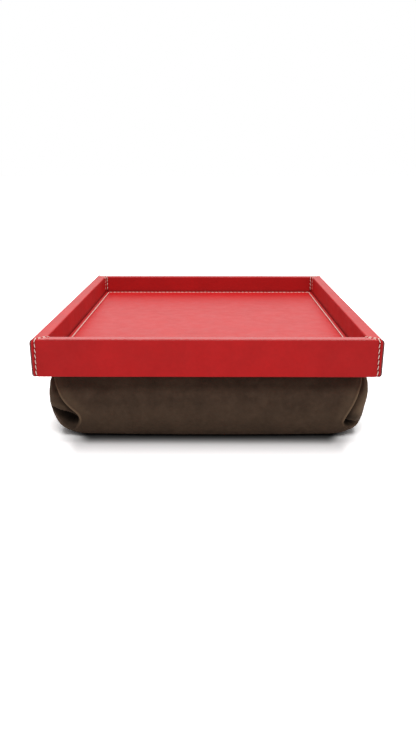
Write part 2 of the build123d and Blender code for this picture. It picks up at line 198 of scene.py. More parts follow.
def makeFinish(name, look):
    finish = bpy.data.materials.new(name)
    tree = emptyTree(finish)
    place = addNode(tree, "ShaderNodeTexCoord").outputs["Object"]

    layers = []  # how much of each shows, and its colour
    start, end = patternSpread["tone"]
    for kind, size, dark, light, share in look["tones"]:
        pattern = patternOf(tree, place, kind, size)
        amount = addNode(tree, "ShaderNodeMapRange", {0: pattern, 1: start, 2: end})
        colours = {6: linear(dark), 7: linear(light)}
        mixed = addNode(tree, "ShaderNodeMix", {0: amount, **colours}, data_type="RGBA")
        layers.append((share, mixed.outputs[2]))
    for mark in ("paintedLight", "paintedShade"):
        if mark in look:
            amount = addNode(tree, "ShaderNodeAttribute", attribute_name=mark).outputs["Fac"]
            layers.append((amount, linear(look[mark])))
    tone = layers[0][1]
    for amount, colour in layers[1:]:
        mixed = addNode(tree, "ShaderNodeMix", {0: amount, 6: tone, 7: colour}, data_type="RGBA")
        tone = mixed.outputs[2]
    relief = {}
    for kind, size, height in look["relief"]:
        pattern = patternOf(tree, place, kind, size)
        relief = {"Normal": addNode(tree, "ShaderNodeBump", {
            "Distance": height * mm, "Strength": 1.0, "Height": pattern, **relief})}
    low, high, size = look["roughness"]
    start, end = patternSpread["gloss"]
    gloss = addNode(tree, "ShaderNodeMapRange", {
        0: patternOf(tree, place, "cloud", size), 1: start, 2: end, 3: low, 4: high})
    if "polished" in look:
        amount = addNode(tree, "ShaderNodeAttribute", attribute_name="polished").outputs["Fac"]
        gloss = addNode(tree, "ShaderNodeMapRange", {0: amount, 3: gloss, 4: look["polished"]})
    surface = addNode(tree, "ShaderNodeBsdfPrincipled", {
        "IOR": 1.5, **look.get("shader", {}), "Base Color": tone, "Roughness": gloss, **relief})
    addNode(tree, "ShaderNodeOutputMaterial", {"Surface": surface})
    return finish


looks = {
    # Pigmented calf leather, drum dyed: fine pebble grain, even red, satin, rubbed smooth on the rim
    "pigmentedCalfLeather": {
        "tones": [("cloud", 38, "#AA0D0E", "#BD1214", 0), ("cloud", 4, "#AA0D0E", "#BE1315", 0.35)],
        # The colour of painted shade in stitch trenches, at the rim's arris and over the back wall
        "paintedShade": "#6A0305",
        "polished": 0.2,
        "relief": [("cells", 0.9, 0.05), ("cloud", 2.6, 0.10), ("cloud", 30, 0.25)],
        "roughness": (0.62, 0.68, 14),
        "shader": {"Specular IOR Level": 0.24},
    },
    # The same hide, ironed flat under a hot plate for the floor: smoother, with a milky sheen
    "platedCalfLeather": {
        "tones": [("cloud", 38, "#B00E0F", "#BB1113", 0), ("cloud", 4, "#AC0D0E", "#C01315", 0.35)],
        # The colour of painted shade in the floor's stitch trench, creases, needle holes and edge
        "paintedShade": "#6A070A",
        "relief": [("cells", 0.9, 0.04), ("cloud", 2.6, 0.08), ("cloud", 30, 0.25)],
        "roughness": (0.38, 0.44, 14),
        "shader": {"Specular IOR Level": 0.5},
    },
    # Raw leather edge, dyed and burnished: nearly black red, smooth, a low wax shine
    "burnishedEdge": {
        "tones": [("cloud", 3, "#3C0C0E", "#5A1416", 0)],
        "relief": [("cloud", 0.8, 0.08)],
        "roughness": (0.35, 0.5, 3),
    },
    # Waxed linen thread: cream, fine twist, matt with a little wax
    "waxedLinenThread": {
        "tones": [("cloud", 2, "#EBCDBF", "#F6E2D7", 0)],
        "relief": [("cloud", 0.25, 0.06)],
        "roughness": (0.55, 0.7, 2),
        "shader": {"Sheen Weight": 0.15},
    },
    # Split suede, brushed nap: soft mottled brown that brightens where the nap faces the eye
    "brushedSuede": {
        "tones": [("cloud", 24, "#2E2119", "#4D3B2F", 0), ("cloud", 5, "#30231A", "#4C3B2F", 0.4),
                  ("cloud", 0.9, "#33261C", "#4B3A2E", 0.25)],
        # The colour of painted highlight on the folds and painted light low on the sides
        "paintedLight": "#715C48",
        # The colour of painted shade in the folds, the pocket, the zip's slot and the top seam
        "paintedShade": "#17100C",
        "relief": [("cloud", 1.1, 0.22), ("cloud", 6, 0.25)],
        "roughness": (0.86, 0.98, 9),
        "shader": {"IOR": 1.4, "Specular IOR Level": 0.2, "Sheen Weight": 0.25, "Sheen Roughness": 0.5,
                   "Sheen Tint": linear("#8A6F58")},
    },
    # Medium density fibreboard: plain tan, very fine fibre
    "rawFibreboard": {
        "tones": [("cloud", 2, "#8E6F4C", "#A5835B", 0)],
        "relief": [("cloud", 0.6, 0.05)],
        "roughness": (0.75, 0.85, 5),
    },
    # Birch plywood: pale layers
    "birchPlywood": {
        "tones": [("layers", 1.2, "#C2A06E", "#DEC296", 0), ("cloud", 30, "#BE9C6C", "#D8BA8A", 0.4)],
        "relief": [("cloud", 1, 0.04)],
        "roughness": (0.6, 0.7, 10),
    },
    # Grey millboard
    "greyMillboard": {
        "tones": [("cloud", 1.5, "#7A7874", "#8C8A86", 0)],
        "relief": [("cloud", 0.5, 0.04)],
        "roughness": (0.8, 0.9, 5),
        "shader": {"IOR": 1.45},
    },
    # Cotton twill lining: dark, with its weave just visible
    "cottonTwill": {
        "tones": [("weave", 0.9, "#17120F", "#2C2521", 0), ("cloud", 20, "#1C1714", "#2A2420", 0.3)],
        "relief": [("weave", 0.9, 0.15)],
        "roughness": (0.85, 0.95, 4),
        "shader": {"IOR": 1.45, "Sheen Weight": 0.2},
    },
    # Hook tape: moulded nylon hooks on a woven ground, drawn at twice their pitch so that they show
    "nylonHookTape": {
        "tones": [("cells", 1.6, "#0F0E0E", "#2B2A2A", 0)],
        "relief": [("cells", 1.6, 0.5)],
        "roughness": (0.4, 0.6, 2),
        "shader": {"IOR": 1.53},
    },
    # Loop tape: brushed nylon pile
    "brushedLoopTape": {
        "tones": [("cloud", 1.2, "#14110F", "#2E2824", 0)],
        "relief": [("cloud", 0.7, 0.4)],
        "roughness": (0.9, 1.0, 2),
        "shader": {"Sheen Weight": 0.5},
    },
    # Woven polyester zip tape, dark brown
    "wovenZipTape": {
        "tones": [("weave", 0.6, "#201813", "#33271F", 0)],
        "relief": [("weave", 0.6, 0.1)],
        "roughness": (0.8, 0.9, 3),
    },
    # Nylon coil: dark brown, satin
    "nylonCoil": {
        "tones": [("cloud", 2, "#241B15", "#30251D", 0)],
        "relief": [("cloud", 0.6, 0.03)],
        "roughness": (0.35, 0.45, 3),
        "shader": {"IOR": 1.53},
    },
    # Antique brass, tumbled: warm, dulled, brighter where it is rubbed
    "antiqueBrass": {
        "tones": [("cloud", 5, "#7A6238", "#A58A54", 0)],
        "relief": [("cloud", 1.5, 0.03)],
        "roughness": (0.28, 0.42, 4),
        "shader": {"Metallic": 1.0},
    },
}
finishes = {name: makeFinish(name, look) for name, look in looks.items()}
nodeFinishes = {
    "rawFibreboard": [side + "_wall_board" for side in ("front", "back", "left", "right")],
    "birchPlywood": ["base_board"],
    "greyMillboard": ["floor_backing"],
    "cottonTwill": ["underside_lining"],
    "nylonHookTape": ["hook_strips"],
    "brushedLoopTape": ["loop_strips"],
    "wovenZipTape": ["zip_tape_lower", "zip_tape_upper"],
    "nylonCoil": ["zip_coil"],
    "antiqueBrass": ["zip_stops", "zip_slider", "zip_pull"],
}
for finishName, nodeNames in nodeFinishes.items():
    for nodeName in nodeNames:
        mesh = nodes[nodeName].data
        mesh.materials.clear()
        mesh.materials.append(finishes[finishName])
print("finishes are ready")


# Points are in millimetres. Marks are values per point that the finish reads
def makePiece(name, points, faces, finish, smoothAngle=None, marks=None):
    mesh = bpy.data.meshes.new(name)
    mesh.from_pydata((np.asarray(points) * mm).tolist(), [], faces)
    mesh.update()
    mesh.shade_smooth()
    if smoothAngle is not None:
        mesh.set_sharp_from_angle(angle=math.radians(smoothAngle))
    for markName, values in (marks or {}).items():
        layer = mesh.attributes.new(markName, "FLOAT", "POINT")
        layer.data.foreach_set("value", np.asarray(values, np.float32))
    mesh.materials.append(finishes[finish])
    piece = bpy.data.objects.new(name, mesh)
    scene.collection.objects.link(piece)
    return piece


def gridFaces(rows, columns, closedColumns=False):
    faces = []
    for row in range(rows - 1):
        upper = row + 1
        for column in range(columns if closedColumns else columns - 1):
            beside = (column + 1) % columns
            faces.append((row * columns + column, row * columns + beside,
                          upper * columns + beside, upper * columns + column))
    return faces


def tubeFaces(rows, columns):  # a closed tube with a face over each end
    first, last = ([row * columns + column for column in range(columns)] for row in (0, rows - 1))
    return gridFaces(rows, columns, closedColumns=True) + [first[::-1], last]


def between(first, second, share):
    return first + (second - first) * share


def smoothStep(value, low, high):
    share = np.clip((np.asarray(value, float) - low) / (high - low), 0, 1)
    return share * share * (3 - 2 * share)


def bell(value, middle, width):  # 1 in the middle, fading on both sides
    return np.exp(-((value - middle) / width) ** 2)


def plateau(value, start, full, fade, end):  # 1 from full to fade, 0 before start and past end
    return smoothStep(value, start, full) * (1 - smoothStep(value, fade, end))


def uneven(points, size, shift=(0, 0, 0)):  # soft hills and hollows, each about as wide as the size
    return np.array([noise.noise(Vector(point) / size + Vector(shift)) for point in points])


def spaced(stops):  # a list of (end, spacing), from the first end on
    places = [stops[0][0]]
    for end, spacing in stops[1:]:
        count = max(1, round((end - places[-1]) / spacing))
        step = (end - places[-1]) / count
        places += [places[-1] + step * (number + 1) for number in range(count)]
    return places


# The tray's sizes, read from the frame
trayHalf = [round(-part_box("left_wall_leather")[0].x * 1000, 2),
            round(-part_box("front_wall_leather")[0].y * 1000, 2)]
underBulge = 0.4  # how far the leather bulges under the board
footHeight = round(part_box("left_wall_leather")[0].z * 1000, 2) - underBulge
rimHeight = round(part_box("left_wall_leather")[1].z * 1000, 2)
floorLow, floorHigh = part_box("floor_leather")
slotLow = round(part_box("base_board")[0].z * 1000, 2)
slotHigh = round(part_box("base_board")[1].z * 1000, 2)
print("tray half sizes", trayHalf, "heights", footHeight, rimHeight, slotLow, slotHigh)

# Wall leathers: a skin wrapped round each board, thinned and pressed at the corners
wall = {
    "thickness": 1.4, "width": 13.0,
    # Rounding at the inner rim, the foot, in plan, at the corners, and of the leather's inside
    "innerRound": 1.6, "footRound": 1.2, "innerFootRound": 0.4, "planRound": 1.2, "insideRound": 0.3,
    "cornerRound": 2.3, "footCorner": 2.4, "cornerReach": (1.0, 5.0), "cornerSoft": 3.6,
    # Points along the section: inner face, arris, rim, arris, outer face, arris, foot, arris, inner foot
    "counts": (26, 8, 10, 9, 46, 8, 8, 4, 4),
    # The stitches: in from the mitre outside, on the rim and inside, and where they end, inside by
    # height and at the foot by how far the skin faces down
    "outerInset": 2.7, "rimInset": 2.5, "innerInset": 2.6, "innerEnd": 89.5, "footEnd": -0.3, "pitch": 5.3,
    # trenchMark and holeMark: painted shade in the stitch trench and the needle holes
    "trenchDepth": 0.42, "trenchWidth": 0.75, "holeDepth": 0.3, "holeWidth": 0.6, "trenchMark": 0.75,
    "holeMark": 0.5, "pressedReach": (9, 12),
    # How far the seam stands off the corner: at the rim's height, at the foot and on the rim itself
    "lip": 2.5, "footLip": 1.4, "rimLip": 0.3, "lipToRim": (0.3, 3.6), "lipShape": 0.8, "lipGap": 0.4,
    "lipUnder": (-0.95, -0.2),  # where it fades as the skin turns under the foot
    "wave": 0.10, "waveSize": 55.0, "waveShift": (7, 3, 1),
    # Painted shade: darker along the outer arris of the rim, where it faces (up, width), and inside by the
    # floor, as (height, width)
    "rimShade": 0.55, "rimShadeAt": (0.6, 0.25), "rimShadeFrom": (6, 14),
    "innerShade": 0.35, "innerShadeAt": (87, 2.2),
    "endDeepFrom": (0.5, 0.75),  # in shares of half the wall
    "stations": [(0, 0), (9, 0.42), (30, 1.6), (60, 4), (1000, 9)],  # from a mitre, as (end, spacing)
    "middleGap": 4,
}
# How rubbed and how round each rim is, how much painted shade darkens its whole skin, and how much darker its
# outer face gets towards the corners
sides = {
    "front": {"along": (1, 0), "out": (0, -1), "rubbedAndHighlit": 1.0, "rimRound": 1.6, "paintedWallShade": 0, "endDeep": 0.16},
    "back": {"along": (-1, 0), "out": (0, 1), "rubbedAndHighlit": 1.0, "rimRound": 1.6, "paintedWallShade": 0.25, "endDeep": 0},
    "left": {"along": (0, -1), "out": (-1, 0), "rubbedAndHighlit": 0.6, "rimRound": 0.5, "paintedWallShade": 0, "endDeep": 0},
    "right": {"along": (0, 1), "out": (1, 0), "rubbedAndHighlit": 0.6, "rimRound": 0.5, "paintedWallShade": 0, "endDeep": 0},
}
for side in sides.values():
    side["half"], side["far"] = trayHalf if side["along"][0] else trayHalf[::-1]


# A wall's section, from the inner face over the rim, down the outer face and under the foot
def wallProfile(low, high, foot, rim, rounds):
    innerRim, outerRim, outerFoot, innerFoot = rounds
    counts = iter(wall["counts"])
    places, normals = [], []

    def run(start, end, normal):
        count = next(counts)
        for number in range(count):
            share = number / count
            places.append([a + (b - a) * share for a, b in zip(start, end)])
            normals.append(normal)

    def arc(centre, radius, first):
        count = next(counts)
        for number in range(count):
            angle = math.radians(first + 90 * number / count)
            normal = (math.cos(angle), math.sin(angle))
            places.append([c + radius * n for c, n in zip(centre, normal)])
            normals.append(normal)

    run((high, slotHigh), (high, rim - innerRim), (1, 0))
    arc((high - innerRim, rim - innerRim), innerRim, 0)
    run((high - innerRim, rim), (low + outerRim, rim), (0, 1))
    arc((low + outerRim, rim - outerRim), outerRim, 90)
    run((low, rim - outerRim), (low, foot + outerFoot), (-1, 0))
    arc((low + outerFoot, foot + outerFoot), outerFoot, 180)
    run((low + outerFoot, foot), (high - innerFoot, foot), (0, -1))
    arc((high - innerFoot, foot + innerFoot), innerFoot, 270)
    run((high, foot + innerFoot), (high, slotLow), (1, 0))
    places.append([high, slotLow])
    normals.append((1, 0))
    return np.array(places), np.array(normals)


def skinProfile(side, fromMitre):  # rounder at the rim and foot close to a corner
    near = 1 - float(smoothStep(fromMitre, *wall["cornerReach"]))
    top = between(side["rimRound"], wall["cornerRound"], near)
    foot = between(wall["footRound"], wall["footCorner"], near)
    return wallProfile(0, wall["width"], footHeight, rimHeight,
                       (wall["innerRound"], top, foot, wall["innerFootRound"]))


def insideProfile():
    skin = wall["thickness"]
    return wallProfile(skin, wall["width"] - skin, footHeight + skin, rimHeight - skin,
                       (wall["insideRound"],) * 4)


def stitchInset(places, normals):  # how far from the mitre the stitches run
    onRim = np.clip(normals[:, 1], 0, 1)
    outer = places[:, 0] < wall["width"] / 2
    inset = np.where(outer, wall["outerInset"], wall["innerInset"])
    return between(inset, wall["rimInset"], onRim)


# The section's points at a distance from one mitre of a wall, raised off its skin
def wallPoints(side, end, places, normals, fromMitre, lift):
    along, out = np.array(side["along"], float), np.array(side["out"], float)
    offset, height = places[:, 0], places[:, 1]
    rounding = np.maximum(wall["planRound"] - offset, 0)
    share = np.where(fromMitre < rounding, fromMitre / np.maximum(rounding, 1e-6), 1)
    turn = math.pi / 4 * (1 - share)
    straight = side["half"] - offset - np.where(share < 1, rounding, fromMitre)
    run = end * (straight + rounding * np.sin(turn) * (share < 1))
    inward = offset + rounding * (1 - np.cos(turn))
    facing = np.outer(np.cos(turn), out) + np.outer(end * np.sin(turn), along)
    flat = np.outer(run, along) + np.outer(side["far"] - inward, out)
    flat += -facing * (normals[:, 0] * lift)[:, None]
    return np.column_stack([flat, height + normals[:, 1] * lift])


def lipHeight(places, normals):  # how far the seam stands off the corner
    rim = smoothStep(places[:, 0], *wall["lipToRim"])
    high = np.interp(places[:, 1], (footHeight, rimHeight), (wall["footLip"], wall["lip"]))
    high = between(high, wall["rimLip"], rim)
    soft = wall["cornerSoft"]
    rounded = 1 - smoothStep(places[:, 1], rimHeight - soft, rimHeight + 1) * (1 - rim)
    rounded *= smoothStep(places[:, 1], footHeight - 1, footHeight + soft)
    return high * rounded * smoothStep(normals[:, 1], *wall["lipUnder"])


def stitchPath(side, end):  # the line of the stitches beside one mitre, and the way each place faces
    places, normals = skinProfile(side, wall["outerInset"])
    inset = stitchInset(places, normals)
    shown = [i for i in range(len(places)) if not (
        places[i][0] > wall["width"] / 2 and (places[i][1] < wall["innerEnd"] or normals[i][1] < 0))
        and normals[i][1] > wall["footEnd"]]
    line, raised = (np.array([
        wallPoints(side, end, places[i:i + 1], normals[i:i + 1], inset[i], np.full(1, lift))[0]
        for i in shown]) for lift in (0, 1))
    return line, raised - line


def resample(line, values, start, step, count):  # equal steps along a line
    lengths = np.concatenate([[0], np.cumsum(np.linalg.norm(np.diff(line, axis=0), axis=1))])
    wanted = start + step * np.arange(count)
    return [np.column_stack([np.interp(wanted, lengths, part[:, axis]) for axis in range(3)])
            for part in (line, values)]


def lengthOf(line):
    return float(np.linalg.norm(np.diff(line, axis=0), axis=1).sum())


def wallLeather(name):
    side = sides[name]
    holes = []
    for end in (-1, 1):
        line, facing = stitchPath(side, end)
        count = round(lengthOf(line) / wall["pitch"])
        holes.append(resample(line, facing, 0, lengthOf(line) / count, count + 1)[0])
    holes = np.vstack(holes)
    inside, insideNormals = insideProfile()
    points, paintedShade, polished = [], [], []
    half = side["half"]
    fromMitre = [q for q in spaced(wall["stations"]) if q < half - wall["middleGap"]] + [half]
    stations = [(-1, q) for q in fromMitre] + [(1, q) for q in fromMitre[-2::-1]]
    for end, q in stations:
        places, normals = skinProfile(side, q)
        inset = stitchInset(places, normals)
        squeeze = (half - places[:, 0]) / half
        away = q * squeeze
        near = 1 - smoothStep(away, *wall["pressedReach"])
        trench = bell(away, inset, wall["trenchWidth"])
        lip = np.clip(1 - away / (inset - wall["lipGap"]), 0, 1) ** wall["lipShape"]
        lip = lip * lipHeight(places, normals)
        lift = near * (lip - wall["trenchDepth"] * trench)
        skin = partial(wallPoints, side, end, places, normals, away)
        lift = lift + wall["wave"] * uneven(skin(lift), wall["waveSize"], wall["waveShift"])
        gap = np.linalg.norm(skin(lift)[:, None, :] - holes[None, :, :], axis=2).min(axis=1)
        hole = bell(gap, 0, wall["holeWidth"])
        row = skin(lift - wall["holeDepth"] * hole)
        back = wallPoints(side, end, inside, insideNormals,
                          q * (half - inside[:, 0]) / half, np.zeros(len(inside)))
        points.append(np.vstack([row, back[::-1]]))
        # Painted shade along the rim's outer arris, by how the skin faces
        rimShade = wall["rimShade"] * bell(normals[:, 1], *wall["rimShadeAt"]) * (normals[:, 0] < -0.3)
        rimShade *= smoothStep(away, *wall["rimShadeFrom"])
        # Painted shade inside, where the wall meets the floor
        atFloor = wall["innerShade"] * bell(places[:, 1], *wall["innerShadeAt"]) * (normals[:, 0] > 0.5)
        atEnd = side["endDeep"] * smoothStep(1 - q / half, *wall["endDeepFrom"])
        atEnd = atEnd * np.clip(-normals[:, 0], 0, 1)
        # Painted shade in the stitch trench and needle holes
        marked = near * (wall["trenchMark"] * trench + wall["holeMark"] * hole)
        # Painted shade over the whole back wall joins the other shade here
        marked = marked + rimShade + side["paintedWallShade"] + atEnd + atFloor
        paintedShade.append(np.concatenate([np.clip(marked, 0, 1), np.zeros(len(back))]))
        rubbedAndHighlit = side["rubbedAndHighlit"] * smoothStep(normals[:, 1], 1 - 0.7 * side["rubbedAndHighlit"], 0.95)
        polished.append(np.concatenate([rubbedAndHighlit, np.zeros(len(back))]))
    rows, columns = len(stations), len(points[0])
    faces = gridFaces(rows, columns, closedColumns=True)
    width = columns // 2
    for row, flip in ((0, False), (rows - 1, True)):
        for column in range(width - 1):
            ring = [row * columns + c
                    for c in (column, column + 1, columns - 2 - column, columns - 1 - column)]
            faces.append(tuple(ring if flip else ring[::-1]))
    piece = makePiece(name + "WallSkin", np.vstack(points), faces, "pigmentedCalfLeather", 40,
                      {"paintedShade": np.concatenate(paintedShade), "polished": np.concatenate(polished)})
    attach(piece, "tray")
    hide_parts(name + "_wall_leather")


for name in sides:
    wallLeather(name)
print("wall leathers are made")


# Corner edges: the two raw edges side by side, dyed and burnished
edgeStrip = {"half": (0.85, 0.4), "height": (0.6, 0.12),  # at the arris and on the rim
             "sunk": 0.5, "gapDepth": 0.3, "gapWidth": 0.16, "sectionPoints": 15, "square": 0.45,
             "rootHalf": 0.9, "rootSunk": 1.4,  # as shares of the half width and of how far it is sunk
             # Inside it ends where it no longer faces up this much or at this height, and outside
             # where it faces down this much
             "innerFacing": 0.4, "innerEnd": 100, "footFacing": -0.98,
             "taper": 3, "taperShare": (-0.4, 1)}  # points over which it thins at its ends
corners = {  # the two walls there, each with its end, and the corner's own direction
    "front_left": (("front", -1), ("left", 1), (-1, -1)),
    "front_right": (("front", 1), ("right", -1), (1, -1)),
    "back_right": (("back", -1), ("right", 1), (1, 1)),
    "back_left": (("back", 1), ("left", -1), (-1, 1)),
}


def titleOf(corner):
    return corner.replace("_l", "L").replace("_r", "R")


def cornerEdge(name):
    (sideName, end), _, signs = corners[name]
    side = sides[sideName]
    places, normals = skinProfile(side, 0)
    shown = [i for i in range(len(places)) if not (
        places[i][0] > wall["width"] / 2
        and (normals[i][1] < edgeStrip["innerFacing"] or places[i][1] < edgeStrip["innerEnd"]))
        and normals[i][1] > edgeStrip["footFacing"]]
    places, normals = places[shown], normals[shown]
    lip = lipHeight(places, normals)
    base = wallPoints(side, end, places, normals, np.zeros(len(places)), lip)
    raised = wallPoints(side, end, places, normals, np.zeros(len(places)), lip + 1)
    facing = raised - base
    facing /= np.linalg.norm(facing, axis=1)[:, None]
    across = np.array([signs[1], -signs[0], 0]) / math.sqrt(2)
    onRim = smoothStep(np.clip(normals[:, 1], 0, 1), 0.2, 0.95)
    half, height = (between(*edgeStrip[size], onRim) for size in ("half", "height"))
    ends = np.minimum(np.arange(len(places)), np.arange(len(places))[::-1]) / edgeStrip["taper"]
    height = height * smoothStep(ends, *edgeStrip["taperShare"])
    points = []
    for angle in np.linspace(0, math.pi, edgeStrip["sectionPoints"]):
        sideways = math.cos(angle)
        up = max(math.sin(angle), 0) ** edgeStrip["square"]
        groove = math.exp(-(sideways / (edgeStrip["gapWidth"] / edgeStrip["half"][0])) ** 2)
        rise = height * (up - groove * edgeStrip["gapDepth"]) - edgeStrip["sunk"] * (1 - up)
        points.append(base + across * (half * sideways)[:, None] + facing * rise[:, None])
    for sign in (-1, 1):
        points.append(base + sign * across * (half * edgeStrip["rootHalf"])[:, None]
                      - facing * edgeStrip["sunk"] * edgeStrip["rootSunk"])
    grid = np.stack(points[::-1], axis=1)
    faces = tubeFaces(*grid.shape[:2])
    piece = makePiece(titleOf(name) + "DyedEdge", grid.reshape(-1, 3), faces, "burnishedEdge", 50)
    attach(piece, "tray")
    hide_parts(name + "_corner_edge")


for name in corners:
    cornerEdge(name)
print("corner edges are made")


# Floor leather: one panel, pressed along its stitches and creased on both sides of them
panel = {"inset": 5.5, "edgeRound": 0.7, "trenchDepth": 0.35, "trenchWidth": 0.8, "creaseOff": 1.7,
         "creaseDepth": 0.16, "creaseWidth": 0.35, "holeDepth": 0.25, "holeWidth": 0.7, "pitch": 5.9,
         "wave": 0.12, "waveSize": 80.0, "flatEdge": 8, "wallGap": 0.8, "edgeShade": 0.45,
         "edgeShadeWidth": 1.2, "trenchMark": 0.7, "creaseMark": 0.45, "holeMark": 0.5,
         # Grid lines in from each edge, as (end, spacing), and on both sides of a needle hole
         "edgeLines": [(0, 0), (0.8, 0.2), (2.6, 0.5), (9.4, 0.28), (14.5, 1.2)], "edgeEnd": 15.2,
         "holeLines": (-0.75, 0, 0.75)}
panelHalf = [floorHigh.x * 1000, floorHigh.y * 1000]
panelLow, panelTop = floorLow.z * 1000, floorHigh.z * 1000
stitchHalf = [half + panel["wallGap"] - panel["inset"] for half in panelHalf]


def panelStops(half, stitchedHalf):  # grid lines, fine at the edges, three at each needle hole
    count = round(2 * stitchedHalf / panel["pitch"])
    holes = [-stitchedHalf + 2 * stitchedHalf * number / count for number in range(count + 1)]
    inner = [hole + shift for hole in holes[2:-2] for shift in panel["holeLines"]]
    inner = [place for place in inner if abs(place) < half - panel["edgeEnd"]]
    rim = [-half + distance for distance in spaced(panel["edgeLines"])]
    return sorted(rim + inner + [-p for p in rim]), holes


def floorLeather():
    xs, xHoles = panelStops(panelHalf[0], stitchHalf[0])
    ys, yHoles = panelStops(panelHalf[1], stitchHalf[1])
    gridX, gridY = np.meshgrid(xs, ys)
    fromEdge = np.minimum(panelHalf[0] - np.abs(gridX), panelHalf[1] - np.abs(gridY))
    fromStitch = fromEdge + panel["wallGap"] - panel["inset"]
    trench = bell(fromStitch, 0, panel["trenchWidth"])
    crease = sum(bell(fromStitch, sign * panel["creaseOff"], panel["creaseWidth"]) for sign in (1, -1))
    gaps = [np.hypot(gridX - x, np.abs(gridY) - stitchHalf[1]) for x in xHoles]
    gaps += [np.hypot(np.abs(gridX) - stitchHalf[0], gridY - y) for y in yHoles]
    hole = bell(np.min(gaps, axis=0), 0, panel["holeWidth"])
    flat = np.column_stack([gridX.ravel(), gridY.ravel(), np.full(gridX.size, 5.0)])
    wave = uneven(flat, panel["waveSize"]).reshape(gridX.shape)
    drop = np.sqrt(np.maximum(0, 1 - (1 - np.clip(fromEdge / panel["edgeRound"], 0, 1)) ** 2))
    heights = panelTop - panel["edgeRound"] * (1 - drop) - panel["trenchDepth"] * trench
    heights += panel["wave"] * wave * smoothStep(fromEdge, 0, panel["flatEdge"])
    heights -= panel["creaseDepth"] * crease + panel["holeDepth"] * hole
    points = np.column_stack([gridX.ravel(), gridY.ravel(), heights.ravel()])
    rows, columns = gridX.shape
    faces = gridFaces(rows, columns)
    border = list(range(columns)) + [r * columns + columns - 1 for r in range(1, rows)]
    border += [(rows - 1) * columns + c for c in range(columns - 2, -1, -1)]
    border += [r * columns for r in range(rows - 2, 0, -1)]
    under = points[border].copy()
    under[:, 2] = panelLow
    first = len(points)
    points = np.vstack([points, under])
    count = len(border)
    for number in range(count):
        after = (number + 1) % count
        faces.append((border[after], border[number], first + number, first + after))
    faces.append(tuple(first + number for number in range(count - 1, -1, -1)))
    # Painted shade in the stitch trench, the creases inside the stitching, the needle holes and along the
    # panel's edge
    dark = panel["trenchMark"] * trench + panel["creaseMark"] * crease * (fromStitch > 0)
    dark += panel["holeMark"] * hole + panel["edgeShade"] * bell(fromEdge, 0, panel["edgeShadeWidth"])
    paintedShade = np.clip(dark, 0, 1).ravel()
    piece = makePiece("floorPanelLeather", points, faces, "platedCalfLeather", 40,
                      {"paintedShade": np.concatenate([paintedShade, np.zeros(count)])})
    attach(piece, "tray")
    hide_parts("floor_leather")


floorLeather()
print("floor leather is made")


# Stitches: a row of slanted thread along each path, made by geometry nodes
thread = {"width": 0.8, "arch": 0.62, "sunk": 0.32, "uneven": 1.0, "cornerLength": 4.7,
          "floorLength": 4.9, "cornerLean": -13.0, "floorLean": 5.0}


